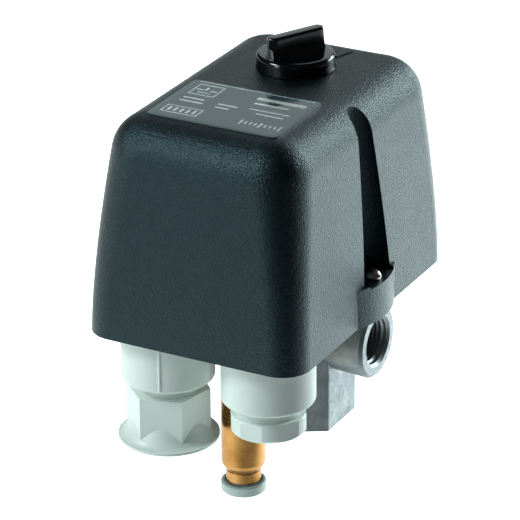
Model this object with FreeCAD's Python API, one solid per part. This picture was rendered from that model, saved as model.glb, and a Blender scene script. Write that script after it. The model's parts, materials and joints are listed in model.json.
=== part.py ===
import FreeCAD, Part
import math
import os

# Pressure switch for a small air compressor, in millimetres.
# The origin is the mouth of the main threaded port, in the bottom of the flange.
# +Z points up, +X to the side with the side port that faces right, and -Y to the cable glands.

V = FreeCAD.Vector
UP = V(0, 0, 1)
BACK = V(0, 1, 0)
RIGHT = V(1, 0, 0)
SIDES = (-1, 1)

# --- driving dimensions -------------------------------------------------------------------------
HOOD_WIDTH = 64.0
HOOD_LENGTH = 92.1
HOOD_HEIGHT = 60.0
HOOD_WALL = 2.0
HOOD_FRONT_Y = -61.8
HOOD_REAR_Y = HOOD_FRONT_Y + HOOD_LENGTH
RIM_Z = 42.3
TOP_Z = RIM_Z + HOOD_HEIGHT
SIDE_INSET = 4.4
FRONT_INSET = 5.5
REAR_INSET = 3.1
CROWN_POWER = 1.5
RIM_CORNER_R = 8.1
TOP_CORNER_R = 12.5
TOP_EDGE_R = 11.0

SCREW_X = 31.0
SCREW_Y = -14.8
EAR_TOP_Z = RIM_Z + 5.0
EAR_ROOM_Z = EAR_TOP_Z + 0.3
LEDGE_Z = RIM_Z + 10.1
STRAP_TOP_Z = RIM_Z + 10.8
STRAP_X = 34.5
STRAP_WALL = 1.3
CHANNEL_WALL = 1.6

FLOOR_THICKNESS = 2.5
FLOOR_Z = RIM_Z + FLOOR_THICKNESS
TRAY_GAP = 0.6
GLAND_X = 15.16
GLAND_Y = -44.9
SOCKET_R = 12.66
SOCKET_BOTTOM_Z = 26.7
SOCKET_EDGE_R = 1.0
GLAND_THREAD_R = 9.5
GLAND_THREAD_Z0 = SOCKET_BOTTOM_Z + 0.3
GLAND_THREAD_Z1 = 36.0
GLAND_NECK_R = 8.9
CABLE_R = 5.5

LEG_AF = 29.3
LEG_EDGE_R = 1.2
PORT_Z = 26.3
PORT_FACE_X = 25.5
PORT_BOSS_R = 10.4
PORT_ROOT_BOSS_R = 9.2
PORT_R = 6.58
PORT_MOUTH_R = 7.4
PORT_DEPTH = 12.0
AIR_WAY_R = 3.5
PLATE_HALF = 22.0
PLATE_Z0 = 36.3
PLATE_Z1 = 40.8
FLANGE_SCREW_XY = 17.5
FLANGE_SCREW_R = 2.0

VALVE_Y = -30.8
VALVE_R = 6.1
VALVE_STEM_R = 5.0
TUBE_R = 3.05
COLLET_R = 4.0
RING_R = 6.2
VENT_STEM_R = 1.5

CHEEK_X0 = 15.5
CHEEK_X1 = 17.0
BRIDGE_Z0 = 83.5
BRIDGE_Z1 = 85.0
LEVER_PIN_Y = 19.0
LEVER_PIN_Z = 57.0
LEVER_Z0 = 53.1
LEVER_Z1 = 55.1
PIVOT_Y = -20.0
PIVOT_Z = 60.0
SPRING_Y = -16.0
SPRING_COIL_R = 6.5
SPRING_WIRE_R = 0.95
SEAT_Z = 56.3
SPRING_PLATE_Z = 77.0

POLE_X = 13.0
BRIDGE_Y = -31.0
BLOCK_HALF = 22.4
SHELF_HALF = 24.6
BLOCK_SCREW_X = 24.9
CONTACT_Z = 62.7
SHELF_Z = 63.9
TERMINAL_Y = -42.5
TERMINAL_XS = (-19.5, -6.5, 6.5, 19.5)

CAM_R = 6.2
CAM_OFFSET = 2.5
CAM_START_DEG = 198.0
KNOB_REST_DEG = -26.6
KNOB_R = 10.55
KNOB_TOP_Z = 112.3

RUNNING_GAP = 0.05


# --- shared shapes ------------------------------------------------------------------------------
def box(x0, x1, y0, y1, z0, z1):
    """Block between two corners."""
    return Part.makeBox(x1 - x0, y1 - y0, z1 - z0, V(x0, y0, z0))


def box_mirrored(side, x0, x1, y0, y1, z0, z1):
    """Block on the right for side 1, or its mirror image on the left for side -1."""
    return box(min(side * x0, side * x1), max(side * x0, side * x1), y0, y1, z0, z1)


def rod(radius, z0, z1, x=0.0, y=0.0):
    """Upright cylinder."""
    return Part.makeCylinder(radius, z1 - z0, V(x, y, z0), UP)


def ring(outer, inner, z0, z1, x=0.0, y=0.0):
    """Upright tube."""
    return rod(outer, z0, z1, x, y).cut(rod(inner, z0, z1, x, y))


def cross_rod(radius, x0, x1, y, z):
    """Cylinder along X."""
    return Part.makeCylinder(radius, x1 - x0, V(x0, y, z), RIGHT)


def cross_rod_mirrored(side, radius, x0, x1, y, z):
    """Cylinder along X on the right for side 1, or its mirror image for side -1."""
    return cross_rod(radius, min(side * x0, side * x1), max(side * x0, side * x1), y, z)


def polygon_prism(points, z0, z1):
    """Upright prism over a closed outline."""
    outline = Part.makePolygon([V(x, y, z0) for x, y in points + points[:1]])
    return Part.Face(outline).extrude(V(0, 0, z1 - z0))


def side_plate(points, x0, x1):
    """Plate across X whose outline is given in Y and Z."""
    outline = Part.makePolygon([V(x0, y, z) for y, z in points + points[:1]])
    return Part.Face(outline).extrude(V(x1 - x0, 0, 0))


def side_plate_mirrored(side, points, x0, x1):
    """Plate across X on the right for side 1, or its mirror image for side -1."""
    return side_plate(points, min(side * x0, side * x1), max(side * x0, side * x1))


def hexagon(across_flats, z0, z1, x=0.0, y=0.0, first_deg=0.0):
    """Upright hexagonal prism; first_deg is the direction of one of its edges."""
    corner_r = across_flats / math.sqrt(3)
    angles = [math.radians(first_deg + 60 * k) for k in range(6)]
    points = [(x + corner_r * math.cos(a), y + corner_r * math.sin(a)) for a in angles]
    return polygon_prism(points, z0, z1)


def rounded_outline(x_half, y0, y1, corner_r, z):
    """Closed wire: rectangle with rounded corners at height z."""
    k = corner_r * (1 - math.sqrt(0.5))
    lines = []
    corners = ((1, 1), (-1, 1), (-1, -1), (1, -1))
    for sx, sy in corners:
        y_edge = y1 if sy > 0 else y0
        on_side = V(sx * x_half, y_edge - sy * corner_r, z)
        middle = V(sx * (x_half - k), y_edge - sy * k, z)
        on_end = V(sx * (x_half - corner_r), y_edge, z)
        first, last = (on_side, on_end) if sx == sy else (on_end, on_side)
        lines.append((first, middle, last))
    edges = []
    for index, (first, middle, last) in enumerate(lines):
        edges.append(Part.Arc(first, middle, last).toShape())
        edges.append(Part.LineSegment(last, lines[(index + 1) % 4][0]).toShape())
    return Part.Wire(edges)


def rounded_block(x_half, y0, y1, corner_r, z0, z1):
    """Upright prism over a rectangle with rounded corners."""
    return Part.Face(rounded_outline(x_half, y0, y1, corner_r, z0)).extrude(V(0, 0, z1 - z0))


def turned(points, x=0.0, y=0.0):
    """Body of revolution about an upright axis; points are (radius, z)."""
    outline = Part.makePolygon([V(x + r, y, z) for r, z in points + points[:1]])
    return Part.Face(outline).revolve(V(x, y, 0), UP, 360)


def coil(coil_r, wire_r, z0, z1, turns, x=0.0, y=0.0):
    """Compression spring with its wire's outside touching both end planes."""
    rise = z1 - z0 - 2 * wire_r
    helix = Part.makeHelix(rise / turns, rise, coil_r)
    start = V(coil_r, 0, 0)
    section = Part.Wire([Part.makeCircle(wire_r, start, BACK)])
    spring = Part.Wire(helix.Edges).makePipeShell([section], True, True)
    spring.translate(V(x, y, z0 + wire_r))
    return spring


def fuse(*shapes):
    """Union of several solids, without seams between flush faces."""
    return shapes[0].fuse(list(shapes[1:])).removeSplitter()


def group(shapes):
    """Identical pieces kept as separate solids in one node."""
    return Part.makeCompound(shapes)


def with_cross_recess(shape, x, y, z_top, reach, depth, width=0.6):
    """Screw head with a cross recess cut into its top."""
    slot_x = box(x - reach, x + reach, y - width / 2, y + width / 2, z_top - depth, z_top + 1)
    slot_y = box(x - width / 2, x + width / 2, y - reach, y + reach, z_top - depth, z_top + 1)
    return shape.cut(slot_x.fuse(slot_y))


def pan_screw(x, y, seat_z, tip_z, shank_r, head_r, head_h):
    """Upright screw with a domed cross-recess head that sits on seat_z."""
    top_z = seat_z + head_h
    dome_h = 0.65 * head_h
    dome_r = (head_r ** 2 + dome_h ** 2) / (2 * dome_h)
    dome = Part.makeSphere(dome_r, V(x, y, top_z - dome_r))
    head = rod(head_r, seat_z, top_z, x, y).common(dome)
    shank = turned([(0, tip_z), (0.6 * shank_r, tip_z), (shank_r, tip_z + 0.5 * shank_r),
                    (shank_r, seat_z + 0.2), (0, seat_z + 0.2)], x, y)
    return with_cross_recess(fuse(head, shank), x, y, top_z, 0.6 * head_r, 0.6 * head_h)


# --- hood ---------------------------------------------------------------------------------------
def hood_outline(height, skin):
    """Outline of the hood's walls, moved outwards by skin, at a height above the rim."""
    wall = (max(height, 0) / HOOD_HEIGHT) ** CROWN_POWER
    corner = RIM_CORNER_R + (TOP_CORNER_R - RIM_CORNER_R) * wall
    x_half = HOOD_WIDTH / 2 + skin - SIDE_INSET * wall
    y_front = HOOD_FRONT_Y - skin + FRONT_INSET * wall
    y_rear = HOOD_REAR_Y + skin - REAR_INSET * wall
    return rounded_outline(x_half, y_front, y_rear, corner + skin, RIM_Z + height)


def hood_block(skin):
    """Solid with the hood's outer form, moved outwards by skin, its top edge rounded."""
    height = HOOD_HEIGHT + skin
    walls = Part.makeLoft([hood_outline(height * k / 4, skin) for k in range(5)], True, False)
    top_edges = [edge for edge in walls.Edges if edge.BoundBox.ZMin > RIM_Z + height - 0.5]
    return walls.makeFillet(TOP_EDGE_R + skin, top_edges)


def channel(side, extra, z0):
    """Tapered upright channel for the screwdriver, with its radius grown by extra."""
    low = Part.Wire([Part.makeCircle(7.8 + extra, V(side * 31.6, -13.9, z0), UP)])
    high = Part.Wire([Part.makeCircle(3.4 + extra, V(side * 27.2, -16.0, TOP_Z - 1.0), UP)])
    return Part.makeLoft([low, high], True, True)


def strap(side, outer_x_low, outer_x_high, z0, z1):
    """Bulged block round the hood screw; its outer face is a slanted arc in plan."""
    half_chord = 13.2
    wires = []
    for z, outer_x in ((z0, outer_x_low), (z1, outer_x_high)):
        inner_x = HOOD_WIDTH / 2 - 1.5
        root_x = HOOD_WIDTH / 2 - 1.2
        front = V(side * root_x, SCREW_Y - half_chord, z)
        rear = V(side * root_x, SCREW_Y + half_chord, z)
        arc = Part.Arc(front, V(side * outer_x, SCREW_Y, z), rear).toShape()
        inner_rear = V(side * inner_x, SCREW_Y + half_chord, z)
        inner_front = V(side * inner_x, SCREW_Y - half_chord, z)
        edges = [arc]
        edges.append(Part.LineSegment(rear, inner_rear).toShape())
        edges.append(Part.LineSegment(inner_rear, inner_front).toShape())
        edges.append(Part.LineSegment(inner_front, front).toShape())
        wires.append(Part.Wire(edges))
    return Part.makeLoft(wires, True, True)


def dial_tick(side):
    """Raised position mark beside the knob."""
    start = V(side * 6.4, 11.3, TOP_Z - 0.4)
    tick = box(-0.4, 0.4, 0, 6.1, 0, 0.7)
    tick.rotate(V(0, 0, 0), UP, -side * 18.2)
    tick.translate(start)
    return tick


def make_hood_shell():
    outer = hood_block(0.0)
    shell = outer.cut(hood_block(-HOOD_WALL))
    for side in SIDES:
        bulge = strap(side, STRAP_X, STRAP_X - 0.2, RIM_Z, STRAP_TOP_Z)
        guide = channel(side, CHANNEL_WALL, EAR_ROOM_Z)
        shell = shell.fuse(guide.common(outer)).fuse(bulge)
        shell = shell.cut(channel(side, 0.0, LEDGE_Z))
        pocket_x = STRAP_X - STRAP_WALL
        pocket = strap(side, pocket_x, pocket_x, LEDGE_Z, STRAP_TOP_Z + 0.1)
        pocket = pocket.common(rod(8.4, LEDGE_Z, STRAP_TOP_Z + 0.1, side * 30.5, SCREW_Y))
        shell = shell.cut(pocket)
        ear_room = box_mirrored(side, 20.0, 33.0, SCREW_Y - 5.3, SCREW_Y + 5.3, RIM_Z - 1, EAR_ROOM_Z)
        shell = shell.cut(ear_room)
        shell = shell.cut(rod(1.45, RIM_Z, LEDGE_Z + 0.1, side * SCREW_X, SCREW_Y))
        shell = shell.fuse(dial_tick(side))
    return shell.cut(rod(5.05, TOP_Z - 4, TOP_Z + 1)).removeSplitter()


def make_rating_label():
    centre_y = HOOD_FRONT_Y + 27.3
    patch = rounded_block(19.0, centre_y - 13.5, centre_y + 13.5, 1.5, TOP_Z - 6, TOP_Z + 1)
    return hood_block(0.25).common(patch).cut(hood_block(0.0))


def make_hood_screws():
    screws = []
    for side in SIDES:
        screws.append(pan_screw(side * SCREW_X, SCREW_Y, LEDGE_Z, RIM_Z + 0.8, 1.4, 2.15, 2.7))
    return group(screws)


def make_selector_knob():
    skirt_z = TOP_Z + 0.1
    skirt = turned([(0, skirt_z), (KNOB_R, skirt_z), (KNOB_R, skirt_z + 2.6), (KNOB_R - 0.9, skirt_z + 3.9),
                    (KNOB_R - 2.2, skirt_z + 4.3), (0, skirt_z + 4.4)])
    wires = []
    sections = ((TOP_Z + 3.8, 2.9, 9.5), (TOP_Z + 6.0, 2.0, 9.1), (KNOB_TOP_Z, 1.6, 8.6))
    for z, half_width, half_length in sections:
        wires.append(rounded_outline(half_width, -half_length, half_length, 1.4, z))
    bar = Part.makeLoft(wires, True, True)
    stem = rod(5.0, 96, skirt_z + 1)
    blade = box(-1.0, 1.0, -4.0, 4.0, 91, 96.5)
    knob = skirt.fuse([bar, stem, blade]).removeSplitter()
    knob = knob.cut(ring(6.0, 4.2, 98.6, 99.8))
    knob.rotate(V(0, 0, 0), UP, KNOB_REST_DEG)
    return knob


def make_knob_clip():
    return ring(7.5, 4.2, 98.8, 99.7).cut(box(-2.6, 2.6, 0, 8, 98, 101))


# --- base and glands ----------------------------------------------------------------------------
def mould_rib(x):
    """Thin upright rib left by the mould's parting line on the left socket."""
    angle = math.radians(-71.0)
    reach = SOCKET_R - 0.1
    rib_x = x + reach * math.cos(angle)
    rib_y = GLAND_Y + reach * math.sin(angle)
    return rod(0.42, SOCKET_BOTTOM_Z + SOCKET_EDGE_R, RIM_Z, rib_x, rib_y)


def make_base_housing():
    inset = HOOD_WALL + TRAY_GAP
    half = HOOD_WIDTH / 2 - inset
    y0 = HOOD_FRONT_Y + inset
    y1 = HOOD_REAR_Y - inset
    tray = rounded_block(half, y0, y1, RIM_CORNER_R - inset, RIM_Z, FLOOR_Z + 2.2)
    wall = 1.8
    corner_r = RIM_CORNER_R - inset - wall
    hollow = rounded_block(half - wall, y0 + wall, y1 - wall, corner_r, FLOOR_Z, FLOOR_Z + 3)
    tray = tray.cut(hollow)
    for side in SIDES:
        x = side * GLAND_X
        socket = rod(SOCKET_R, SOCKET_BOTTOM_Z, RIM_Z + 1, x, GLAND_Y)
        lower_edges = [edge for edge in socket.Edges if edge.BoundBox.ZMax < SOCKET_BOTTOM_Z + 0.1]
        socket = socket.makeFillet(SOCKET_EDGE_R, lower_edges)
        tray = tray.fuse(socket)
        if side < 0:
            tray = tray.fuse(mould_rib(x))
        tray = tray.cut(rod(GLAND_THREAD_R, SOCKET_BOTTOM_Z - 1, RIM_Z - 1.5, x, GLAND_Y))
        tray = tray.cut(rod(CABLE_R + 1.5, RIM_Z - 2, FLOOR_Z + 1, x, GLAND_Y))
        ear = box_mirrored(side, 24.0, 32.7, SCREW_Y - 5.0, SCREW_Y + 5.0, RIM_Z, EAR_TOP_Z)
        tray = tray.fuse(ear).cut(rod(1.45, RIM_Z - 1, EAR_TOP_Z + 1, side * SCREW_X, SCREW_Y))
    tray = tray.cut(rod(12.6, RIM_Z - 1, FLOOR_Z + 1))
    tray = tray.cut(rod(VALVE_STEM_R, RIM_Z - 1, FLOOR_Z + 1, 0, VALVE_Y))
    for x, y, radius in base_screw_holes():
        tray = tray.cut(rod(radius, RIM_Z + 0.6, FLOOR_Z + 0.1, x, y))
    for x, y in FLANGE_SCREW_PLACES:
        tray = tray.cut(rod(FLANGE_SCREW_R, RIM_Z - 0.1, FLOOR_Z + 0.1, x, y))
    return tray.removeSplitter()


FLANGE_SCREW_PLACES = [(sx * FLANGE_SCREW_XY, sy * FLANGE_SCREW_XY) for sx in SIDES for sy in SIDES]
FRAME_SCREW_PLACES = [(side * 21.0, y) for side in SIDES for y in (-20.0, 21.5)]
EARTH_SCREW_PLACES = [(-23.5, -3.5), (-23.5, 7.5)]
BLOCK_SCREW_PLACES = [(side * BLOCK_SCREW_X, BRIDGE_Y) for side in SIDES]


def base_screw_holes():
    """Centres and radii of the blind holes in the base floor."""
    frame_holes = [(x, y, 1.4) for x, y in FRAME_SCREW_PLACES]
    earth_holes = [(x, y, 1.7) for x, y in EARTH_SCREW_PLACES]
    block_holes = [(x, y, 1.2) for x, y in BLOCK_SCREW_PLACES]
    return frame_holes + earth_holes + block_holes


def gland_bore(x):
    """Cable way through a gland."""
    return rod(CABLE_R + 1.5, -5, RIM_Z, x, GLAND_Y)


def trumpet_profile(lip_r, lip_z, z_end):
    """Points of a flared bell from its lip inwards and upwards, as (radius, z)."""
    reach = 5.4
    climb = 18.3
    end_deg = math.degrees(math.acos(1 - (z_end - lip_z) / climb))
    angles = [math.radians(end_deg * step / 10) for step in range(11)]
    return [(lip_r - reach * math.sin(angle), lip_z + climb * (1 - math.cos(angle))) for angle in angles]


def gland_thread(x, shoulder_z):
    """Neck and thread of a gland, from the top of its hexagon into the socket."""
    neck = rod(GLAND_NECK_R, shoulder_z - 0.5, GLAND_THREAD_Z0, x, GLAND_Y)
    return fuse(neck, rod(GLAND_THREAD_R, GLAND_THREAD_Z0, GLAND_THREAD_Z1, x, GLAND_Y))


def make_left_gland():
    x = -GLAND_X
    hex_top = RIM_Z - 18.7
    vertex_z = RIM_Z - 31.2
    lip_z = RIM_Z - 33.5
    lip_r = 13.75
    nut = hexagon(20.0, vertex_z, hex_top, x, GLAND_Y, 17.5)
    bell = trumpet_profile(lip_r, lip_z + 1.0, hex_top)
    lip = [(0, lip_z), (lip_r - 0.3, lip_z), (lip_r, lip_z + 0.3)]
    trumpet = turned(lip + bell + [(0, hex_top)], x, GLAND_Y)
    thread = gland_thread(x, hex_top)
    mouth = trumpet_profile(lip_r - 1.1, lip_z - 0.1, hex_top - 8.0)
    hollow = turned([(0, lip_z - 0.1)] + mouth + [(0, hex_top - 8.0)], x, GLAND_Y)
    return fuse(nut, trumpet, thread).cut(hollow).cut(gland_bore(x))


def make_right_gland():
    x = GLAND_X
    top = RIM_Z - 19.0
    bottom = RIM_Z - 24.3
    nut = hexagon(19.8, bottom, top, x, GLAND_Y, 0.0)
    profile = [(0, bottom), (9.7, bottom), (10.4, bottom + 0.8), (10.4, top - 0.5), (10.0, top), (0, top)]
    blank = turned(profile, x, GLAND_Y)
    thread = gland_thread(x, top)
    return fuse(nut.common(blank), thread).cut(gland_bore(x))


def make_gland_washers():
    return group([ring(9.3, CABLE_R + 0.6, GLAND_THREAD_Z1, 37.0, side * GLAND_X, GLAND_Y) for side in SIDES])


def make_gland_seals():
    return group([ring(9.3, CABLE_R, 37.0, RIM_Z - 1.5, side * GLAND_X, GLAND_Y) for side in SIDES])


# --- flange -------------------------------------------------------------------------------------
def port_hole(direction, face):
    """Threaded hole that enters at a face, with its drill point."""
    inwards = direction * -1
    hole = Part.makeCylinder(PORT_R, PORT_DEPTH, face, inwards)
    point = Part.makeCone(PORT_R, AIR_WAY_R, 2.0, face + inwards * PORT_DEPTH, inwards)
    return fuse(hole, point)


def port_mouth(direction, face):
    """Chamfer at the mouth of a side port."""
    return Part.makeCone(PORT_MOUTH_R, PORT_R, PORT_MOUTH_R - PORT_R, face, direction * -1)


def make_pressure_flange():
    leg = hexagon(LEG_AF, 0.0, PORT_Z + 6.0, first_deg=30.0)
    upright_edges = [edge for edge in leg.Edges if edge.BoundBox.ZLength > PORT_Z]
    leg = leg.makeFillet(LEG_EDGE_R, upright_edges)
    body = rod(15.5, PORT_Z - 6.0, PLATE_Z0 + 0.5)
    plate = rounded_block(PLATE_HALF, -PLATE_HALF, PLATE_HALF, 5.0, PLATE_Z0, PLATE_Z1)
    solid = fuse(leg, body, plate)
    directions = (V(1, 0, 0), V(-1, 0, 0), V(0, 1, 0))
    for direction in directions:
        start = V(0, 0, PORT_Z)
        length = PORT_FACE_X - 1.0
        boss = Part.makeCone(PORT_ROOT_BOSS_R, PORT_BOSS_R, length, start, direction)
        edge = Part.makeCone(PORT_BOSS_R, PORT_BOSS_R - 0.8, 1.0, start + direction * length, direction)
        solid = fuse(solid, boss, edge)
    for direction in directions:
        face = V(0, 0, PORT_Z) + direction * PORT_FACE_X
        air_way = Part.makeCylinder(AIR_WAY_R, PORT_FACE_X - PORT_DEPTH - 1.0, V(0, 0, PORT_Z), direction)
        solid = solid.cut(fuse(port_hole(direction, face), port_mouth(direction, face), air_way))
    solid = solid.cut(fuse(port_hole(UP * -1, V(0, 0, 0)), rod(AIR_WAY_R, PORT_DEPTH + 1.0, PLATE_Z1 + 1)))
    solid = solid.cut(rod(11.0, PLATE_Z1 - 1.6, PLATE_Z1 + 1))
    for x, y in FLANGE_SCREW_PLACES:
        solid = solid.cut(rod(FLANGE_SCREW_R, PLATE_Z0 - 1, PLATE_Z1 + 1, x, y))
        solid = solid.cut(rod(4.4, PLATE_Z0 - 9, PLATE_Z0, x, y))
    return solid.removeSplitter()


def make_flange_screws():
    screws = []
    for x, y in FLANGE_SCREW_PLACES:
        head = rod(3.6, PLATE_Z0 - 3.4, PLATE_Z0, x, y)
        shank = rod(FLANGE_SCREW_R, PLATE_Z0 - 1, FLOOR_Z, x, y)
        socket = hexagon(3.0, PLATE_Z0 - 3.5, PLATE_Z0 - 1.6, x, y)
        screws.append(fuse(head, shank).cut(socket))
    return group(screws)


def make_diaphragm():
    sheet = rounded_block(PLATE_HALF, -PLATE_HALF, PLATE_HALF, 5.0, PLATE_Z1, RIM_Z)
    for x, y in FLANGE_SCREW_PLACES:
        sheet = sheet.cut(rod(FLANGE_SCREW_R, PLATE_Z1 - 1, RIM_Z + 1, x, y))
    return sheet


def make_plunger():
    return turned([(0, RIM_Z), (12.0, RIM_Z), (12.0, RIM_Z + 2.0), (6.0, RIM_Z + 3.4), (4.5, RIM_Z + 5.0),
                   (4.5, LEVER_Z0 - 2.0), (3.2, LEVER_Z0 - 0.9), (0.6, LEVER_Z0 - 0.1), (0, LEVER_Z0 - 0.1)])


# --- unloader valve -----------------------------------------------------------------------------
def make_valve_body():
    bottom = -3.9
    tip = bottom - 3.6
    neck = [(0, tip), (4.45, tip), (4.85, tip + 0.4), (4.85, bottom - 0.4), (4.6, bottom - 0.4)]
    shoulder = [(4.6, bottom), (5.0, bottom), (VALVE_R - 0.25, bottom + 1.4), (VALVE_R, bottom + 2.4)]
    stem = [(VALVE_R, 36.0), (VALVE_STEM_R, 36.0), (VALVE_STEM_R, FLOOR_Z + 5.0), (0, FLOOR_Z + 5.0)]
    body = turned(neck + shoulder + stem, 0, VALVE_Y)
    body = body.fuse(hexagon(14.0, 35.0, RIM_Z, 0, VALVE_Y, 30.0))
    body = body.cut(rod(COLLET_R + 0.15, bottom - 4, -1.5, 0, VALVE_Y))
    body = body.cut(rod(TUBE_R + 0.05, -1.6, 9.0, 0, VALVE_Y))
    body = body.cut(rod(TUBE_R + 1.1, 2.0, 4.0, 0, VALVE_Y))
    body = body.cut(rod(1.2, 8.9, 12.1, 0, VALVE_Y))
    body = body.cut(rod(3.1, 12.0, 27.0, 0, VALVE_Y))
    body = body.cut(rod(VENT_STEM_R + 0.7, 26.9, 38.0, 0, VALVE_Y))
    body = body.cut(rod(VENT_STEM_R + RUNNING_GAP, 37.9, FLOOR_Z + 6, 0, VALVE_Y))
    body = body.cut(cross_rod(1.2, -10, 10, VALVE_Y, 32.0))
    return body.removeSplitter()


def make_valve_nut():
    nut = hexagon(14.0, FLOOR_Z, FLOOR_Z + 3.0, 0, VALVE_Y, 30.0)
    return nut.cut(rod(VALVE_STEM_R, FLOOR_Z - 1, FLOOR_Z + 4, 0, VALVE_Y))


def make_tube_seal():
    return Part.makeTorus(TUBE_R + 0.55, 0.5, V(0, VALVE_Y, 3.0), UP)


def make_vent_pin():
    return turned([(0, 22.6), (1.4, 22.6), (1.4, 24.0), (2.7, 24.0), (2.7, 25.4), (VENT_STEM_R, 25.4),
                   (VENT_STEM_R, 56.4), (VENT_STEM_R - 0.4, 56.8), (0, 56.8)], 0, VALVE_Y)


def make_vent_seal():
    return ring(2.7, VENT_STEM_R, 25.4, 26.9, 0, VALVE_Y)


def make_valve_spring():
    return coil(2.1, 0.3, 12.0, 24.0, 7, 0, VALVE_Y)


def make_release_ring():
    z0 = -10.7
    rim = [(RING_R - 0.4, z0), (RING_R, z0 + 0.4), (RING_R, z0 + 2.7), (RING_R - 0.3, z0 + 3.0)]
    flange = turned([(0, z0)] + rim + [(5.3, z0 + 3.0), (5.2, z0 + 1.6), (0, z0 + 1.6)], 0, VALVE_Y)
    sleeve = rod(COLLET_R, z0 + 1.0, -3.0, 0, VALVE_Y)
    return fuse(flange, sleeve).cut(rod(TUBE_R, z0 - 1, 0, 0, VALVE_Y))


# --- mechanism ----------------------------------------------------------------------------------
def make_mechanism_frame():
    cheek_outline = [(-24.0, FLOOR_Z), (25.4, FLOOR_Z), (25.4, 63.0), (9.0, 80.0), (9.0, BRIDGE_Z1),
                     (-21.5, BRIDGE_Z1), (-21.5, 70.0), (-24.0, 66.0)]
    pieces = []
    for side in SIDES:
        pieces.append(side_plate_mirrored(side, cheek_outline, CHEEK_X0, CHEEK_X1))
        for foot_x, y0, y1 in ((23.7, -24.0, -15.5), (24.0, 17.0, 25.4)):
            pieces.append(box_mirrored(side, CHEEK_X0, foot_x, y0, y1, FLOOR_Z, FLOOR_Z + 1.5))
    pieces.append(box(-CHEEK_X1, CHEEK_X1, -21.5, 9.0, BRIDGE_Z0, BRIDGE_Z1))
    frame = fuse(*pieces)
    frame = frame.cut(cross_rod(1.6, -20, 20, LEVER_PIN_Y, LEVER_PIN_Z))
    frame = frame.cut(cross_rod(1.5, -20, 20, PIVOT_Y, PIVOT_Z))
    frame = frame.cut(rod(2.55, BRIDGE_Z0 - 1, BRIDGE_Z1 + 1, 0, SPRING_Y))
    frame = frame.cut(rod(4.05, BRIDGE_Z0 - 1, BRIDGE_Z1 + 1))
    for x, y in FRAME_SCREW_PLACES:
        frame = frame.cut(rod(1.4, FLOOR_Z - 1, FLOOR_Z + 3, x, y))
    return frame


def make_frame_screws():
    top = FLOOR_Z + 1.5
    return group([pan_screw(x, y, top, RIM_Z + 0.8, 1.4, 2.6, 1.8) for x, y in FRAME_SCREW_PLACES])


def make_lever_pin():
    pin = cross_rod(1.6, -18.2, 17.0, LEVER_PIN_Y, LEVER_PIN_Z)
    head = cross_rod(2.6, -18.4, -CHEEK_X1, LEVER_PIN_Y, LEVER_PIN_Z)
    tail = cross_rod(1.6, 16.0, 18.4, LEVER_PIN_Y, LEVER_PIN_Z)
    return fuse(pin, head, tail)


def make_carrier_pins():
    pins = []
    for side in SIDES:
        shank = cross_rod_mirrored(side, 1.5, 8.6, 17.6, PIVOT_Y, PIVOT_Z)
        head = cross_rod_mirrored(side, 2.4, CHEEK_X1, 18.2, PIVOT_Y, PIVOT_Z)
        pins.append(fuse(shank, head))
    return group(pins)


def make_main_lever():
    plate = box(-13.0, 13.0, -9.0, 23.0, LEVER_Z0, LEVER_Z1)
    nose = box(-8.2, 8.2, -24.2, -8.0, LEVER_Z0, LEVER_Z1)
    pieces = [plate, nose]
    ear_outline = [(12.0, LEVER_Z0), (23.0, LEVER_Z0), (23.0, 59.0), (21.0, 60.5), (17.0, 60.5), (12.0, 56.0)]
    for side in SIDES:
        pieces.append(side_plate_mirrored(side, ear_outline, 11.5, 13.0))
    lever = fuse(*pieces)
    return lever.cut(cross_rod(1.6 + RUNNING_GAP, -20, 20, LEVER_PIN_Y, LEVER_PIN_Z))


def make_lower_spring_seat():
    disc = [(0, LEVER_Z1), (7.9, LEVER_Z1), (7.9, SEAT_Z)]
    pilot = [(5.2, SEAT_Z), (4.8, SEAT_Z + 2.4), (0, SEAT_Z + 2.4)]
    return turned(disc + pilot, 0, SPRING_Y)


def make_range_spring():
    return coil(SPRING_COIL_R, SPRING_WIRE_R, SEAT_Z, SPRING_PLATE_Z, 6, 0, SPRING_Y)


def make_upper_spring_plate():
    z = SPRING_PLATE_Z
    plate = box(-14.8, 14.8, SPRING_Y - 5.0, SPRING_Y + 7.0, z, z + 2.0)
    boss = turned([(0, z - 2.4), (4.8, z - 2.4), (5.2, z), (5.2, z + 0.5), (0, z + 0.5)], 0, SPRING_Y)
    collar = rod(4.6, z + 1.5, z + 4.0, 0, SPRING_Y)
    disc = rod(7.6, z, z + 2.0, 0, SPRING_Y)
    return fuse(plate, boss, collar, disc).cut(rod(2.5 + RUNNING_GAP, z + 0.5, z + 5, 0, SPRING_Y))


def make_range_screw():
    tip = SPRING_PLATE_Z + 0.7
    head_z = 88.2
    shank = turned([(0, tip), (1.8, tip), (2.5, tip + 0.7), (2.5, head_z), (0, head_z)], 0, SPRING_Y)
    top = head_z + 3.6
    head = hexagon(8.0, head_z, top, 0, SPRING_Y)
    crown = turned([(0, head_z), (4.62, head_z), (4.62, top - 0.7), (3.9, top), (0, top)], 0, SPRING_Y)
    slot = box(-5, 5, SPRING_Y - 0.55, SPRING_Y + 0.55, head_z + 2.3, head_z + 4)
    return fuse(shank, head.common(crown)).cut(slot)


def tapered_finger(y, z_tip, z_root, x0, x1):
    """Finger pointing down, narrowed at its tip so that it can rock on what it presses."""
    tip = [(y + 2.0, z_tip + 1.6), (y + 0.5, z_tip), (y - 0.5, z_tip), (y - 2.0, z_tip + 1.6)]
    outline = [(y - 2.0, z_root), (y + 2.0, z_root)] + tip
    return side_plate(outline, x0, x1)


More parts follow.
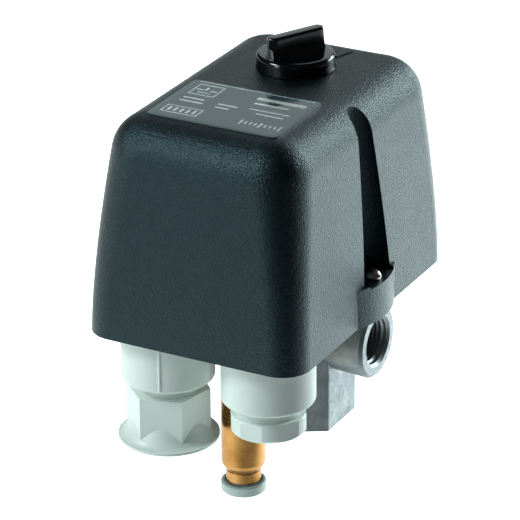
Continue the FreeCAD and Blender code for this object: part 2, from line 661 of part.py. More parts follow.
def make_contact_carrier():
    arm_outline = [(-7.2, 55.3), (-7.2, 57.2), (-17.2, 62.8), (-21.5, 63.8), (-26.2, 70.0), (-33.0, 70.0),
                   (-33.0, 67.2), (-27.6, 67.2), (-23.4, 58.6), (-18.0, 57.0), (-10.0, 55.9), (-8.0, 55.3)]
    pieces = []
    for side in SIDES:
        pieces.append(side_plate_mirrored(side, arm_outline, 9.0, 12.0))
        finger = tapered_finger(BRIDGE_Y, CONTACT_Z - 1.1, 67.5, side * POLE_X - 1.4, side * POLE_X + 1.4)
        pieces.append(finger)
    pieces.append(box(-16.0, 16.0, -33.0, -26.2, 67.2, 70.0))
    pieces.append(tapered_finger(VALVE_Y, 56.95, 67.5, -2.4, 2.4))
    pieces.append(box(-4.0, 4.0, -28.2, -26.2, 69.5, 88.0))
    carrier = fuse(*pieces)
    return carrier.cut(cross_rod(1.5 + RUNNING_GAP, -20, 20, PIVOT_Y, PIVOT_Z))


def make_contact_block():
    body = box(-BLOCK_HALF, BLOCK_HALF, -38.0, -25.6, FLOOR_Z, 60.0)
    shelf = box(-SHELF_HALF, SHELF_HALF, -47.0, -36.5, 57.4, SHELF_Z)
    pieces = [body, shelf]
    for side in SIDES:
        y0, y1 = BRIDGE_Y - 3.2, BRIDGE_Y + 3.2
        pieces.append(box_mirrored(side, BLOCK_HALF - 0.1, 27.2, y0, y1, FLOOR_Z, FLOOR_Z + 2.6))
    for x in (-SHELF_HALF + 0.8, -POLE_X, 0, POLE_X, SHELF_HALF - 0.8):
        pieces.append(box(x - 0.8, x + 0.8, -47.0, -36.5, SHELF_Z - 1, 69.0))
    block = fuse(*pieces)
    block = block.cut(box(-5.2, 5.2, -38.5, -25.0, 50.0, 61.0))
    block = block.cut(rod(8.9, FLOOR_Z - 1, 50.0, 0, VALVE_Y))
    for side in SIDES:
        block = block.cut(box_mirrored(side, 4.9, 21.2, BRIDGE_Y - 3.6, BRIDGE_Y + 3.6, 58.0, 61.0))
        block = block.cut(rod(3.3, 49.0, 60.5, side * POLE_X, BRIDGE_Y))
        block = block.cut(rod(1.2, FLOOR_Z - 1, FLOOR_Z + 3, side * BLOCK_SCREW_X, BRIDGE_Y))
    for x in TERMINAL_XS:
        block = block.cut(rod(1.9, 58.5, SHELF_Z + 1, x, TERMINAL_Y))
    return block


def make_block_screws():
    return group([pan_screw(x, y, FLOOR_Z + 2.6, RIM_Z + 0.8, 1.2, 1.9, 1.5) for x, y in BLOCK_SCREW_PLACES])


def make_fixed_contacts():
    strips = []
    for x in TERMINAL_XS:
        strip = box(x - 3.4, x + 3.4, -46.5, -28.6, SHELF_Z, SHELF_Z + 1.0)
        rivet = rod(1.8, CONTACT_Z, SHELF_Z + 0.5, x, BRIDGE_Y)
        strips.append(fuse(strip, rivet).cut(rod(1.9, SHELF_Z - 1, SHELF_Z + 2, x, TERMINAL_Y)))
    return group(strips)


def make_contact_bridges():
    bridges = []
    for side in SIDES:
        z = CONTACT_Z - 2.4
        strip = box_mirrored(side, 5.3, 20.8, BRIDGE_Y - 2.6, BRIDGE_Y + 2.6, z, z + 1.1)
        rivets = [rod(1.8, z + 0.5, CONTACT_Z, side * x, BRIDGE_Y) for x in (6.5 + 0.7, 19.5 - 0.7)]
        bridges.append(fuse(strip, *rivets))
    return group(bridges)


def make_contact_springs():
    z0 = 49.0
    z1 = CONTACT_Z - 2.4
    return group([coil(2.3, 0.35, z0, z1, 5, side * POLE_X, BRIDGE_Y) for side in SIDES])


def make_terminal_clamps():
    clamps = []
    for x in TERMINAL_XS:
        clamp = box(x - 3.4, x + 3.4, TERMINAL_Y - 3.4, TERMINAL_Y + 3.4, SHELF_Z + 1.0, SHELF_Z + 2.4)
        clamps.append(clamp.cut(rod(1.9, SHELF_Z, SHELF_Z + 3, x, TERMINAL_Y)))
    return group(clamps)


def make_terminal_screws():
    seat = SHELF_Z + 2.4
    return group([pan_screw(x, TERMINAL_Y, seat, 58.5, 1.9, 3.2, 2.4) for x in TERMINAL_XS])


def make_earth_plate():
    plate = box(-27.3, -19.5, -8.0, 12.0, FLOOR_Z, FLOOR_Z + 1.4)
    for x, y in EARTH_SCREW_PLACES:
        plate = plate.cut(rod(1.7, FLOOR_Z - 1, FLOOR_Z + 2, x, y))
    return plate


def make_earth_screws():
    return group([pan_screw(x, y, FLOOR_Z + 1.4, RIM_Z + 0.8, 1.7, 3.2, 2.2) for x, y in EARTH_SCREW_PLACES])


def make_selector_cam():
    angle = math.radians(CAM_START_DEG)
    lobe_x = CAM_OFFSET * math.cos(angle)
    lobe_y = CAM_OFFSET * math.sin(angle)
    lobe = rod(CAM_R, BRIDGE_Z1 + 0.4, BRIDGE_Z1 + 3.0, lobe_x, lobe_y)
    hub = rod(4.0, BRIDGE_Z0 - 2.6, BRIDGE_Z1 + 3.0)
    post = rod(5.4, BRIDGE_Z1 + 2.9, 95.0)
    cam = fuse(lobe, hub, post).cut(ring(5.0, 3.2, BRIDGE_Z0 - 1.6, BRIDGE_Z0 - 0.6))
    slot = box(-1.35, 1.35, -6, 6, 89.5, 96)
    slot.rotate(V(0, 0, 0), UP, KNOB_REST_DEG)
    return cam.cut(slot)


def make_cam_clip():
    opening = box(-2.0, 2.0, 0, 8, BRIDGE_Z0 - 3, BRIDGE_Z0)
    return ring(6.2, 3.2, BRIDGE_Z0 - 1.5, BRIDGE_Z0 - 0.7).cut(opening)


def make_off_slide():
    z0 = BRIDGE_Z1 + 0.1
    z1 = z0 + 2.0
    plate = box(-7.6, 7.6, -24.2, -7.3, z0, z1)
    return plate.cut(box(-5.1, 5.1, -22.0, -9.3, z0 - 1, z1 + 1))


NODES = {
    "hood_shell": make_hood_shell,
    "rating_label": make_rating_label,
    "hood_screws": make_hood_screws,
    "selector_knob": make_selector_knob,
    "knob_clip": make_knob_clip,
    "base_housing": make_base_housing,
    "left_gland": make_left_gland,
    "right_gland": make_right_gland,
    "gland_washers": make_gland_washers,
    "gland_seals": make_gland_seals,
    "pressure_flange": make_pressure_flange,
    "flange_screws": make_flange_screws,
    "diaphragm": make_diaphragm,
    "plunger": make_plunger,
    "valve_body": make_valve_body,
    "valve_nut": make_valve_nut,
    "tube_seal": make_tube_seal,
    "vent_pin": make_vent_pin,
    "vent_seal": make_vent_seal,
    "valve_spring": make_valve_spring,
    "release_ring": make_release_ring,
    "mechanism_frame": make_mechanism_frame,
    "frame_screws": make_frame_screws,
    "lever_pin": make_lever_pin,
    "carrier_pins": make_carrier_pins,
    "main_lever": make_main_lever,
    "lower_spring_seat": make_lower_spring_seat,
    "range_spring": make_range_spring,
    "upper_spring_plate": make_upper_spring_plate,
    "range_screw": make_range_screw,
    "contact_carrier": make_contact_carrier,
    "contact_block": make_contact_block,
    "block_screws": make_block_screws,
    "fixed_contacts": make_fixed_contacts,
    "contact_bridges": make_contact_bridges,
    "contact_springs": make_contact_springs,
    "terminal_clamps": make_terminal_clamps,
    "terminal_screws": make_terminal_screws,
    "earth_plate": make_earth_plate,
    "earth_screws": make_earth_screws,
    "selector_cam": make_selector_cam,
    "cam_clip": make_cam_clip,
    "off_slide": make_off_slide,
}

os.makedirs("parts", exist_ok=True)
for node, make in NODES.items():
    shape = make()
    print(node, "solids", len(shape.Solids), "valid", shape.isValid(), "volume", round(shape.Volume, 1))
    shape.exportStep("parts/" + node + ".step")
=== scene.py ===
import bpy
import bmesh
import json
import math
from mathutils import Matrix, Vector


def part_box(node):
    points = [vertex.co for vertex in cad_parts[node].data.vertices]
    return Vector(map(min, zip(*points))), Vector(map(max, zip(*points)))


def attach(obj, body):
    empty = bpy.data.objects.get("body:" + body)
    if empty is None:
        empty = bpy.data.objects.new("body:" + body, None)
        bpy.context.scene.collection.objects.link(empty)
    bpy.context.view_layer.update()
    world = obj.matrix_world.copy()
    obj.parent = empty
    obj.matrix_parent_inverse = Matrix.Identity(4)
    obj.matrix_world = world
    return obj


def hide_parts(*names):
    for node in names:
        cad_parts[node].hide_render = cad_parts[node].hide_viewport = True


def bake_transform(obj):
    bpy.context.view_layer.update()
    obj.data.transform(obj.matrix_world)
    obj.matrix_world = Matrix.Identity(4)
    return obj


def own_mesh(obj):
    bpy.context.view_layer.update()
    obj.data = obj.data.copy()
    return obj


# Looks of the pressure switch, in metres, in the frame of its CAD model: the origin is the mouth of the
# main port under the flange, +Z is up, and the cable glands are on the -Y side. The knob, label and thread
# sections work in millimetres and end with in_metres().

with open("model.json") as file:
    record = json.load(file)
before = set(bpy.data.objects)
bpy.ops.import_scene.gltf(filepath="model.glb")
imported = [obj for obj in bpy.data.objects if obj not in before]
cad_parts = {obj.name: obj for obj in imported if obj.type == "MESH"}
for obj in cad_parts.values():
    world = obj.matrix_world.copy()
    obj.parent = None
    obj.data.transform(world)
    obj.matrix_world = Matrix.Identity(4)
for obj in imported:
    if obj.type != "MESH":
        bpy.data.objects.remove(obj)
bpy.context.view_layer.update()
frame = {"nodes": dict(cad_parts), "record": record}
NODES = frame["nodes"]
MM = 0.001


# --- materials ------------------------------------------------------------------------------------
class Shader:
    """A principled material with short calls for the procedural nodes used below."""

    def __init__(self, name, color, roughness, metallic=0.0, **inputs):
        self.mat = bpy.data.materials.new(name)
        self.mat.use_nodes = True
        self.nodes = self.mat.node_tree.nodes
        self.links = self.mat.node_tree.links
        self.bsdf = self.nodes["Principled BSDF"]
        self.bsdf.inputs["Base Color"].default_value = (*color, 1.0)
        self.bsdf.inputs["Roughness"].default_value = roughness
        self.bsdf.inputs["Metallic"].default_value = metallic
        for key, value in inputs.items():
            self.bsdf.inputs[key.replace("_", " ")].default_value = value
        self.coords = self.nodes.new("ShaderNodeTexCoord").outputs["Object"]

    def stretch(self, scale):
        """Object coordinates scaled per axis."""
        mapping = self.nodes.new("ShaderNodeMapping")
        mapping.inputs["Scale"].default_value = scale
        self.links.new(self.coords, mapping.inputs["Vector"])
        return mapping.outputs["Vector"]

    def noise(self, scale, detail=2.0, vector=None, rough=0.5):
        node = self.nodes.new("ShaderNodeTexNoise")
        node.inputs["Scale"].default_value = scale
        node.inputs["Detail"].default_value = detail
        node.inputs["Roughness"].default_value = rough
        self.links.new(vector or self.coords, node.inputs["Vector"])
        return node.outputs["Fac"]

    def pebbles(self, scale):
        """Distance to the middle of soft-edged cells."""
        node = self.nodes.new("ShaderNodeTexVoronoi")
        node.feature = "SMOOTH_F1"
        node.inputs["Scale"].default_value = scale
        self.links.new(self.coords, node.inputs["Vector"])
        return node.outputs["Distance"]

    def remap(self, value, low, high, to_low=0.0, to_high=1.0):
        """Value rescaled from one range to another and held inside it."""
        node = self.nodes.new("ShaderNodeMapRange")
        node.inputs["From Min"].default_value = low
        node.inputs["From Max"].default_value = high
        node.inputs["To Min"].default_value = to_low
        node.inputs["To Max"].default_value = to_high
        self.links.new(value, node.inputs["Value"])
        return node.outputs["Result"]

    def math(self, operation, a, b):
        """Sum, product or similar of two sockets, or of a socket and a number."""
        node = self.nodes.new("ShaderNodeMath")
        node.operation = operation
        for socket, value in zip(node.inputs, (a, b)):
            if isinstance(value, (int, float)):
                socket.default_value = value
            else:
                self.links.new(value, socket)
        return node.outputs["Value"]

    def mix_color(self, factor, color_a, color_b):
        """Blend of two colours by a factor socket."""
        node = self.nodes.new("ShaderNodeMix")
        node.data_type = "RGBA"
        self.links.new(factor, node.inputs["Factor"])
        color_sockets = [socket for socket in node.inputs if socket.type == "RGBA"]
        for socket, color in zip(color_sockets, (color_a, color_b)):
            socket.default_value = (*color, 1.0)
        return next(socket for socket in node.outputs if socket.type == "RGBA")

    def color(self, value):
        self.links.new(value, self.bsdf.inputs["Base Color"])

    def roughness(self, value):
        self.links.new(value, self.bsdf.inputs["Roughness"])

    def bump(self, height, distance, strength=1.0):
        node = self.nodes.new("ShaderNodeBump")
        node.inputs["Distance"].default_value = distance
        node.inputs["Strength"].default_value = strength
        self.links.new(height, node.inputs["Height"])
        self.links.new(node.outputs["Normal"], self.bsdf.inputs["Normal"])


def hood_plastic():
    """Charcoal plastic with a fine leather grain."""
    teal_gloss = (0.54, 0.88, 1.0, 1.0)
    s = Shader("hood_plastic", (0.003, 0.005, 0.006), 0.3, Specular_IOR_Level=0.5, Specular_Tint=teal_gloss)
    creases = s.noise(2900.0, 2.5)
    grain = s.math("ADD", s.math("MULTIPLY", s.pebbles(2100.0), -0.6), creases)
    s.bump(grain, 0.23 * MM, 0.9)
    s.roughness(s.remap(s.noise(60.0, 3.0), 0.3, 0.7, 0.28, 0.33))
    s.color(s.mix_color(s.noise(45.0, 4.0), (0.0015, 0.003, 0.004), (0.003, 0.006, 0.008)))
    return s.mat


def moulded(name, color, roughness, speckle=0.05, grain=0.02 * MM):
    """Plain moulded plastic with faint colour and gloss variation."""
    s = Shader(name, color, roughness)
    shade = tuple(c * (1 - speckle) for c in color)
    s.color(s.mix_color(s.remap(s.noise(35.0, 4.0), 0.35, 0.65), shade, color))
    s.roughness(s.remap(s.noise(220.0, 2.0), 0.3, 0.7, roughness - 0.05, roughness + 0.06))
    s.bump(s.noise(1800.0, 2.0), grain, 0.3)
    return s.mat


def knob_plastic():
    """Gloss black plastic with a faint orange-peel surface."""
    s = Shader("knob_plastic", (0.002, 0.002, 0.003), 0.12, Specular_IOR_Level=0.5)
    s.roughness(s.remap(s.noise(90.0, 3.0), 0.3, 0.75, 0.08, 0.2))
    s.bump(s.noise(500.0, 2.0), 0.01 * MM, 0.12)
    return s.mat


def cast_alloy():
    """Die-cast metal, mottled and a little rough."""
    s = Shader("cast_alloy", (0.215, 0.235, 0.25), 0.42, 0.9)
    mottle = s.remap(s.noise(160.0, 5.0, rough=0.65), 0.3, 0.7)
    s.color(s.mix_color(mottle, (0.16, 0.19, 0.215), (0.34, 0.355, 0.36)))
    s.roughness(s.remap(s.noise(900.0, 3.0), 0.3, 0.7, 0.34, 0.55))
    s.bump(s.noise(1400.0, 4.0), 0.06 * MM, 0.5)
    return s.mat


def brass():
    """Brass with fine turning marks round an upright axis."""
    s = Shader("brass", (0.5, 0.27, 0.08), 0.25, 1.0)
    turning = s.noise(40.0, 3.0, s.stretch((1.0, 1.0, 160.0)))
    s.color(s.mix_color(s.remap(s.noise(130.0, 4.0), 0.3, 0.7), (0.36, 0.155, 0.035), (0.68, 0.35, 0.115)))
    s.roughness(s.remap(turning, 0.3, 0.7, 0.2, 0.36))
    s.bump(turning, 0.03 * MM, 0.35)
    return s.mat


def steel(name, color, roughness):
    """Bare or plated metal, slightly uneven in colour and gloss."""
    s = Shader(name, color, roughness, 1.0)
    dark = tuple(c * 0.82 for c in color)
    s.color(s.mix_color(s.remap(s.noise(120.0, 4.0), 0.3, 0.7), dark, color))
    s.roughness(s.remap(s.noise(500.0, 3.0), 0.3, 0.7, roughness - 0.08, roughness + 0.1))
    s.bump(s.noise(1500.0, 2.0), 0.02 * MM, 0.25)
    return s.mat


def rubber():
    """Matt black rubber."""
    s = Shader("seal_rubber", (0.012, 0.012, 0.012), 0.7)
    s.bump(s.noise(1500.0, 3.0), 0.04 * MM, 0.5)
    s.roughness(s.remap(s.noise(200.0, 2.0), 0.3, 0.7, 0.6, 0.8))
    return s.mat


MATERIALS = {
    "hood_plastic": hood_plastic(),
    "knob_plastic": knob_plastic(),
    "label_foil": moulded("label_foil", (0.03, 0.06, 0.07), 0.08, 0.04, 0.002 * MM),
    "label_ink": steel("label_ink", (0.74, 0.8, 0.78), 0.34),
    "screw_nickel": steel("screw_nickel", (0.78, 0.74, 0.66), 0.18),
    "steel_zinc": steel("steel_zinc", (0.6, 0.61, 0.64), 0.34),
    "spring_steel": steel("spring_steel", (0.45, 0.45, 0.47), 0.28),
    "base_plastic": moulded("base_plastic", (0.71, 0.78, 0.74), 0.38, 0.04),
    "ring_plastic": moulded("ring_plastic", (0.6, 0.73, 0.68), 0.4, 0.05),
    "seal_rubber": rubber(),
    "cast_alloy": cast_alloy(),
    "brass": brass(),
    "black_moulding": moulded("black_moulding", (0.018, 0.018, 0.02), 0.45, 0.1),
    "mechanism_plastic": moulded("mechanism_plastic", (0.42, 0.05, 0.03), 0.42, 0.1),
    "contact_copper": steel("contact_copper", (0.72, 0.42, 0.28), 0.3),
}


def finish_cad_nodes():
    """Gives every CAD node the material of its slot."""
    slots = {row["node"]: row["material_slot"] for row in frame["record"]["subparts"]}
    for name, node in NODES.items():
        node.data.materials.clear()
        node.data.materials.append(MATERIALS[slots[name]])


# --- mesh helpers -----------------------------------------------------------------------------------
def add_piece(name, verts, faces, slot, body, sharp_deg=35.0):
    """Mesh object from points in metres, smooth except at sharp edges, riding on a body."""
    mesh = bpy.data.meshes.new(name)
    mesh.from_pydata(verts, [], faces)
    cleaner = bmesh.new()
    cleaner.from_mesh(mesh)
    bmesh.ops.remove_doubles(cleaner, verts=cleaner.verts, dist=1e-7)
    bmesh.ops.recalc_face_normals(cleaner, faces=cleaner.faces)
    cleaner.to_mesh(mesh)
    cleaner.free()
    mesh.shade_smooth()
    mesh.set_sharp_from_angle(angle=math.radians(sharp_deg))
    piece = bpy.data.objects.new(name, mesh)
    bpy.context.scene.collection.objects.link(piece)
    piece.data.materials.append(MATERIALS[slot])
    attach(piece, body)
    return piece


def grid_faces(rows, columns, wrap_columns=True, offset=0):
    """Quads over a grid of points stored row by row."""
    faces = []
    last = columns if wrap_columns else columns - 1
    for row in range(rows - 1):
        for column in range(last):
            right = (column + 1) % columns
            base = offset + row * columns
            faces.append((base + column, base + right, base + columns + right, base + columns + column))
    return faces


def basis(direction):
    """Two unit vectors square to a direction."""
    w = Vector(direction).normalized()
    u = w.orthogonal().normalized()
    return u, w.cross(u), w


def helical_ridge(start, direction, base_r, tip_r, pitch, length, turn_steps=48):
    """Points and faces of a thread ridge that winds along a direction from a start point."""
    u, v, w = basis(direction)
    profile = ((base_r, -0.47), (tip_r, -0.07), (tip_r, 0.07), (base_r, 0.47))
    rows = int(length / pitch * turn_steps) + 1
    verts = []
    for row in range(rows):
        angle = 2 * math.pi * row / turn_steps
        along = pitch * row / turn_steps
        outward = u * math.cos(angle) + v * math.sin(angle)
        for radius, shift in profile:
            verts.append(Vector(start) + outward * radius + w * (along + shift * pitch))
    faces = grid_faces(rows, 4)
    faces.append((3, 2, 1, 0))
    end = (rows - 1) * 4
    faces.append((end, end + 1, end + 2, end + 3))
    return verts, faces


def lathe(profile, steps=96, centre=(0.0, 0.0)):
    """Points and faces of a closed body of revolution about an upright axis; profile is (radius, z)."""
    verts = []
    for radius, z in profile:
        for step in range(steps):
            angle = 2 * math.pi * step / steps
            verts.append((centre[0] + radius * math.cos(angle), centre[1] + radius * math.sin(angle), z))
    faces = grid_faces(len(profile), steps)
    faces.append(tuple(reversed(range(steps))))
    faces.append(tuple(range((len(profile) - 1) * steps, len(profile) * steps)))
    return verts, faces


def arc(centre_r, centre_z, radius, start_deg, end_deg, steps=8):
    """Profile points along an arc."""
    points = []
    for step in range(steps + 1):
        angle = math.radians(start_deg + (end_deg - start_deg) * step / steps)
        points.append((centre_r + radius * math.cos(angle), centre_z + radius * math.sin(angle)))
    return points


def in_metres(points):
    """Points given in millimetres, as vectors in metres."""
    return [Vector(point) * MM for point in points]


def joined(name, base, *others):
    """Points and faces of the union of closed meshes."""
    objects = []
    for index, (verts, faces) in enumerate((base,) + others):
        mesh = bpy.data.meshes.new(name + str(index))
        mesh.from_pydata(verts, [], faces)
        piece = bpy.data.objects.new(name + str(index), mesh)
        bpy.context.scene.collection.objects.link(piece)
        objects.append(piece)
    for other in objects[1:]:
        union = objects[0].modifiers.new("union", "BOOLEAN")
        union.operation = "UNION"
        union.solver = "EXACT"
        union.object = other
    evaluated = objects[0].evaluated_get(bpy.context.evaluated_depsgraph_get())
    mesh = evaluated.to_mesh()
    verts = [tuple(vertex.co) for vertex in mesh.vertices]
    faces = [tuple(polygon.vertices) for polygon in mesh.polygons]
    evaluated.to_mesh_clear()
    for piece in objects:
        mesh = piece.data
        bpy.data.objects.remove(piece)
        bpy.data.meshes.remove(mesh)
    return verts, faces


# --- knob -------------------------------------------------------------------------------------------
KNOB_TURN = math.radians(-26.6)
HOOD_TOP = 102.3
KNOB_R = 10.55
BAR_HALF = 8.9
BAR_THIN = 1.6
BAR_LOW = 3.6
BAR_HIGH = 10.0
BAR_FLARE = 0.5
BAR_END_R = 1.35
BAR_EDGE_R = 0.45
BAR_LEVELS = 12


def bar_section(share, inset):
    """Outline of the wing at a share of its height, drawn in by inset; its sides flare towards the skirt."""
    half = BAR_HALF + BAR_FLARE * (1 - share) - inset
    points = []
    for end in (1, -1):
        for step in range(25):
            along = 1 - step / 12
            swell = 0.4 + 1.5 * (1 - along * along)
            width = BAR_THIN + swell * (1 - share) ** 3 - inset
            round_off = max(0.0, abs(along) * half - (half - BAR_END_R)) / BAR_END_R
            width *= math.sqrt(max(0.0, 1 - round_off * round_off)) * 0.8 + 0.2
            points.append((end * width, end * along * half))
    return points


def knob_wing():
    """Points and faces of the wing, from the skirt up to its rounded top edge."""
    straight_top = BAR_HIGH - BAR_EDGE_R
    rows = []
    for step in range(BAR_LEVELS + 1):
        share = step / BAR_LEVELS
        rows.append((BAR_LOW + (straight_top - BAR_LOW) * share, bar_section(share, 0.0)))
    for angle_deg in (30, 60, 90):
        angle = math.radians(angle_deg)
        inset = BAR_EDGE_R * (1 - math.cos(angle))
        rows.append((straight_top + BAR_EDGE_R * math.sin(angle), bar_section(1.0, inset)))
    count = len(rows[0][1])
    verts = [(x, y, HOOD_TOP + z) for z, row in rows for x, y in row]
    faces = grid_faces(len(rows), count)
    faces.append(tuple(reversed(range(count))))
    faces.append(tuple(range((len(rows) - 1) * count, len(rows) * count)))
    return verts, faces


def knob_blade():
    """Points and faces of the blade that turns the cam."""
    corners = ((-1, -4), (1, -4), (1, 4), (-1, 4))
    verts = [(x, y, HOOD_TOP + z) for z in (-11.3, -5.8) for x, y in corners]
    faces = grid_faces(2, 4)
    faces += [(3, 2, 1, 0), (4, 5, 6, 7)]
    return verts, faces


def knob_skirt():
    """Points and faces of the stem, lip, rounded shoulder and dished top."""
    stem = [(0.01, -6.3), (5.0, -6.3), (5.0, -3.7), (4.2, -3.7), (4.2, -2.5), (5.0, -2.5), (5.0, 0.1)]
    lip = [(10.5, 0.1), (10.72, 0.2), (10.72, 0.42), (KNOB_R, 0.55), (KNOB_R, 1.5)]
    shoulder = arc(KNOB_R - 1.15, 3.15, 1.15, 0, 78)
    dish = [(8.6, 4.28), (6.5, 4.22), (3.0, 4.2), (0.01, 4.2)]
    return lathe([(r, HOOD_TOP + z) for r, z in stem + lip + shoulder + dish])


def make_knob():
    """Wing knob: skirt, wing and the stem inside the hood, joined into one piece."""
    verts, faces = joined("knob_part", knob_skirt(), knob_wing(), knob_blade())
    turn = Matrix.Rotation(KNOB_TURN, 3, "Z")
    verts = in_metres([turn @ Vector(point) for point in verts])
    knob = add_piece("wing_knob", verts, faces, "knob_plastic", "knob", 32.0)
    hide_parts("selector_knob")


# --- label print ------------------------------------------------------------------------------------
LABEL_CENTRE_Y = -34.5
LABEL_FLAT_X = 16.6
LABEL_FLAT_Y = -45.3
LABEL_RISE = 0.25
EDGE_R = 11.25
PRINT_STEP = 1.5


def label_z(x, y):
    """Height of the label's face, which follows the hood's rounded top edges."""
    side = max(0.0, abs(x) - LABEL_FLAT_X)
    front = max(0.0, LABEL_FLAT_Y - y)
    drop = 2 * EDGE_R - math.sqrt(EDGE_R ** 2 - side ** 2) - math.sqrt(EDGE_R ** 2 - front ** 2)
    return HOOD_TOP + LABEL_RISE - drop


def print_block(x, y, width, height):
    """Inked rectangle on the label, as a thin closed slab; x and y are its centre from the label's."""
    columns = max(1, round(width / PRINT_STEP)) + 1
    rows = max(1, round(height / PRINT_STEP)) + 1
    verts = []
    for lift in (-0.05, 0.03):
        for row in range(rows):
            for column in range(columns):
                px = x + width * (column / (columns - 1) - 0.5)
                py = LABEL_CENTRE_Y + y + height * (row / (rows - 1) - 0.5)
                verts.append((px, py, label_z(px, py) + lift))
    layer = rows * columns
    faces = [tuple(reversed(face)) for face in grid_faces(rows, columns, False)]
    faces += grid_faces(rows, columns, False, layer)
    border = list(range(columns))
    border += [row * columns + columns - 1 for row in range(1, rows)]
    border += [layer - 1 - column for column in range(1, columns)]
    border += [row * columns for row in range(rows - 2, 0, -1)]
    for here, after in zip(border, border[1:] + border[:1]):
        faces.append((here, after, after + layer, here + layer))
    return verts, faces


def print_frame(x, y, width, height, line):
    """Four inked lines round a rectangle."""
    blocks = []
    for side in (-1, 1):
        blocks.append(print_block(x, y + side * (height - line) / 2, width, line))
        blocks.append(print_block(x + side * (width - line) / 2, y, line, height - 2 * line))
    return blocks


def make_label_print():
    """Generic rating print: a fine border, bars for lines of text, and a switch symbol in a frame."""
    blocks = print_frame(0, 0, 36.6, 25.6, 0.22)
    blocks += print_frame(-12.2, 7.4, 7.6, 7.2, 0.3)
    blocks += [print_block(-14.2, 7.4, 2.0, 0.5), print_block(-10.2, 7.4, 2.0, 0.5)]
    blocks += [print_block(-12.6, 8.4, 0.5, 2.2), print_block(-12.2, 5.6, 3.6, 0.4)]
    blocks += print_frame(-11.3, -7.8, 10.4, 4.8, 0.3)
    blocks += [print_block(-14.9 + 1.8 * index, -7.8, 0.7, 2.4) for index in range(5)]
    lines = ((9.3, 8.6, 14.0, 1.7), (8.0, 5.2, 9.6, 0.9), (9.6, 1.2, 11.6, 0.55), (10.8, -1.2, 7.8, 0.55),
             (-12.6, 1.0, 6.0, 0.6), (-12.2, -1.3, 7.0, 0.6), (-2.2, 0.4, 5.6, 0.6), (-2.8, -1.8, 4.0, 0.6))
    blocks += [print_block(*line) for line in lines]
    for index in range(9):
        tick = 3.0 if index % 4 == 0 else 1.6
        blocks.append(print_block(6.0 + 1.4 * index, -7.8, 0.35, tick))
    verts = []
    faces = []
    for block_verts, block_faces in blocks:
        start = len(verts)
        verts += in_metres(block_verts)
        faces += [tuple(index + start for index in face) for face in block_faces]
    ink = add_piece("label_print", verts, faces, "label_foil", "hood")
    ink.data.materials[0] = MATERIALS["label_ink"]


# --- threads ----------------------------------------------------------------------------------------
PORT_Z = 26.3
PORT_FACE = 25.5
THREAD_PITCH = 1.337
THREAD_START = 1.3
THREAD_LENGTH = 9.6
THREAD_ROOT_R = 6.64
THREAD_TIP_R = 6.0


def make_threads():
    """Thread ridges in the four ports of the flange."""
    mouths = {
        "right_port_thread": ((PORT_FACE, 0, PORT_Z), (-1, 0, 0)),
        "left_port_thread": ((-PORT_FACE, 0, PORT_Z), (1, 0, 0)),
        "rear_port_thread": ((0, PORT_FACE, PORT_Z), (0, -1, 0)),
        "main_port_thread": ((0, 0, 0), (0, 0, 1)),
    }
    for name, (mouth, inwards) in mouths.items():
        start = Vector(mouth) + Vector(inwards) * THREAD_START
        verts, faces = helical_ridge(start, inwards, THREAD_ROOT_R, THREAD_TIP_R, THREAD_PITCH, THREAD_LENGTH)
        add_piece(name, in_metres(verts), faces, "cast_alloy", "base", 25.0)


# --- springs ----------------------------------------------------------------------------------------
RANGE_SPRING_Y = -16.0 * MM


def add_spring(name, mesh, node):
    """Spring from a finished mesh, in place of its CAD node."""
    spring = bpy.data.objects.new(name, mesh)
    bpy.context.scene.collection.objects.link(spring)
    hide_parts(node)
    return spring


def make_soft_spring(name, node):
    """Copy of a CAD spring in place of its CAD node, riding on the base."""
    spring = add_spring(name, NODES[node].data.copy(), node)
    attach(spring, "base")
    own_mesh(spring)


def half_mesh(node, height, upper):
    """Copy of a CAD node's mesh, cut at a level, with the cut closed."""
    mesh = NODES[node].data.copy()
    cut = bmesh.new()
    cut.from_mesh(mesh)
    everything = cut.verts[:] + cut.edges[:] + cut.faces[:]
    bmesh.ops.bisect_plane(
        cut, geom=everything, plane_co=(0, 0, height), plane_no=(0, 0, 1),
        clear_outer=not upper, clear_inner=upper)
    bmesh.ops.holes_fill(cut, edges=[edge for edge in cut.edges if edge.is_boundary])
    cut.to_mesh(mesh)
    cut.free()
    return mesh


def make_range_coil():
    """Range spring cut at its waist into two halves; neither half rides on a body."""
    lowest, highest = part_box("range_spring")
    foot = (0, RANGE_SPRING_Y, lowest[2])
    waist = (0, RANGE_SPRING_Y, (lowest[2] + highest[2]) / 2)
    head = (0, RANGE_SPRING_Y, highest[2])
    halves = (
        ("range_coil_low", False, "lever", "base", foot, waist),
        ("range_coil_top", True, "base", "spring_plate", waist, head),
    )
    for name, upper, first, second, start, end in halves:
        coil = add_spring(name, half_mesh("range_spring", waist[2], upper), "range_spring")
        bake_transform(coil)


def make_springs():
    make_range_coil()
    make_soft_spring("contact_coils", "contact_springs")
    make_soft_spring("valve_coil", "valve_spring")


# --- stage ------------------------------------------------------------------------------------------
FLOOR_Z = -0.12
FLOOR_SIZE = 8.0
STUDIO_TINT = (0.88, 1.0, 1.0)
HOT_SPOT = (0.42, 0.5, 0.0)


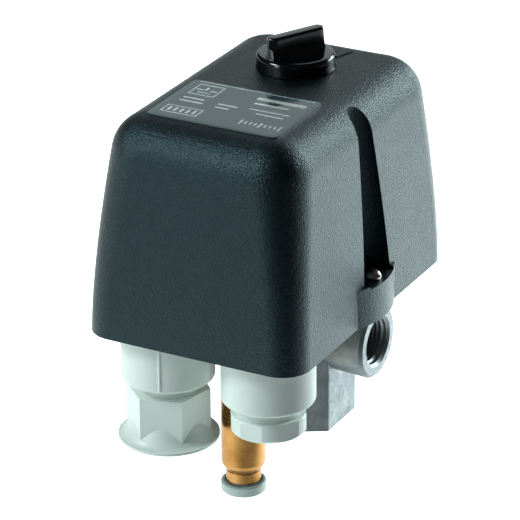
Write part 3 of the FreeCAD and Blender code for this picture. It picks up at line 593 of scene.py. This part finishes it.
def make_floor():
    """Backlit table, pale to the camera: its colour is painted dark at the front right as painted shade, its
    light is low there, and it has a hot spot behind the right side.
    """
    bpy.ops.mesh.primitive_plane_add(size=FLOOR_SIZE, location=(0, 0, FLOOR_Z))
    floor = bpy.context.object
    floor.name = "floor"
    s = Shader("floor_paper", (0.88, 0.88, 0.88), 0.9, Emission_Color=(*STUDIO_TINT, 1.0))
    s.roughness(s.remap(s.noise(3.0, 2.0), 0.3, 0.7, 0.86, 0.94))
    split = s.nodes.new("ShaderNodeSeparateXYZ")
    s.links.new(s.coords, split.inputs["Vector"])
    leftwards = s.math("MULTIPLY", split.outputs["X"], -0.87)
    behind = s.math("ADD", leftwards, s.math("MULTIPLY", split.outputs["Y"], 0.5))
    # painted shade: the floor's colour and light fall off towards the front right
    painted_shade_ramp = s.remap(behind, -0.32, -0.03)
    s.color(s.mix_color(painted_shade_ramp, (0.14, 0.14, 0.14), (0.88, 0.88, 0.88)))
    dim = s.remap(painted_shade_ramp, 0.0, 1.0, 0.05, 0.8)
    reach = s.nodes.new("ShaderNodeVectorMath")
    reach.operation = "DISTANCE"
    reach.inputs[1].default_value = HOT_SPOT
    s.links.new(s.coords, reach.inputs[0])
    glow = s.remap(reach.outputs["Value"], 0.22, 0.55, 2.2, 0.0)
    seen = s.nodes.new("ShaderNodeLightPath").outputs["Is Camera Ray"]
    paper_white = s.math("MULTIPLY", seen, 1.25)
    strength = s.math("MAXIMUM", s.math("ADD", dim, glow), paper_white)
    s.links.new(strength, s.bsdf.inputs["Emission Strength"])
    floor.data.materials.append(s.mat)


def add_softbox(name, location, target, size, power, spread_deg=180.0):
    """Rectangular light that the camera doesn't see, aimed at a point."""
    data = bpy.data.lights.new(name, "AREA")
    data.shape = "RECTANGLE"
    data.size, data.size_y = size
    data.energy = power
    data.color = STUDIO_TINT
    data.spread = math.radians(spread_deg)
    light = bpy.data.objects.new(name, data)
    bpy.context.scene.collection.objects.link(light)
    light.location = location
    light.rotation_euler = (Vector(target) - Vector(location)).to_track_quat("-Z", "Y").to_euler()
    light.visible_camera = False


def make_lights():
    """Dim surroundings that look white, and five softboxes out of the picture."""
    world = bpy.data.worlds.new("studio")
    bpy.context.scene.world = world
    world.use_nodes = True
    background = world.node_tree.nodes["Background"]
    background.inputs["Color"].default_value = (0.93, 1.0, 1.0, 1)
    seen = world.node_tree.nodes.new("ShaderNodeLightPath")
    strength = world.node_tree.nodes.new("ShaderNodeMath")
    strength.operation = "MAXIMUM"
    strength.inputs[1].default_value = 0.03
    world.node_tree.links.new(seen.outputs["Is Camera Ray"], strength.inputs[0])
    world.node_tree.links.new(strength.outputs[0], background.inputs["Strength"])
    add_softbox("right_softbox", (0.5, 1.1, 0.36), (0, 0, 0.06), (0.7, 0.45), 12.0)
    add_softbox("left_softbox", (-0.6, -1.12, 0.34), (0, 0, 0.05), (0.3, 0.3), 0.38, 60.0)
    add_softbox("left_high_softbox", (-0.75, -0.72, 0.85), (0, 0, 0.05), (0.4, 0.4), 2.2, 80.0)
    add_softbox("rear_softbox", (-0.55, 1.05, 0.65), (0, 0, 0.1), (1.0, 0.8), 2.1)
    add_softbox("rear_right_softbox", (0.2, 1.2, 0.7), (0, 0, 0.1), (0.5, 0.5), 1.3)


CAMERA_LENS = 227.7
CAMERA_PLACE = (0.3774, -0.7324, 0.4162)
CAMERA_RIGHT = Vector((0.8842, 0.4671, -0.0035))
CAMERA_FORWARD = Vector((-0.4273, 0.8057, -0.4103))


def make_camera():
    """Long lens, in front of the object, to its right and above it."""
    data = bpy.data.cameras.new("camera")
    data.sensor_width = 36.0
    data.lens = CAMERA_LENS
    data.clip_start = 0.05
    data.clip_end = 20.0
    camera = bpy.data.objects.new("camera", data)
    bpy.context.scene.collection.objects.link(camera)
    up = CAMERA_RIGHT.cross(CAMERA_FORWARD)
    turn = Matrix((CAMERA_RIGHT, up, -CAMERA_FORWARD)).transposed().to_4x4()
    camera.matrix_world = Matrix.Translation(CAMERA_PLACE) @ turn
    bpy.context.scene.camera = camera


finish_cad_nodes()
make_knob()
make_label_print()
make_threads()
make_springs()
make_floor()
make_lights()
make_camera()
bpy.context.scene.view_settings.view_transform = "Standard"
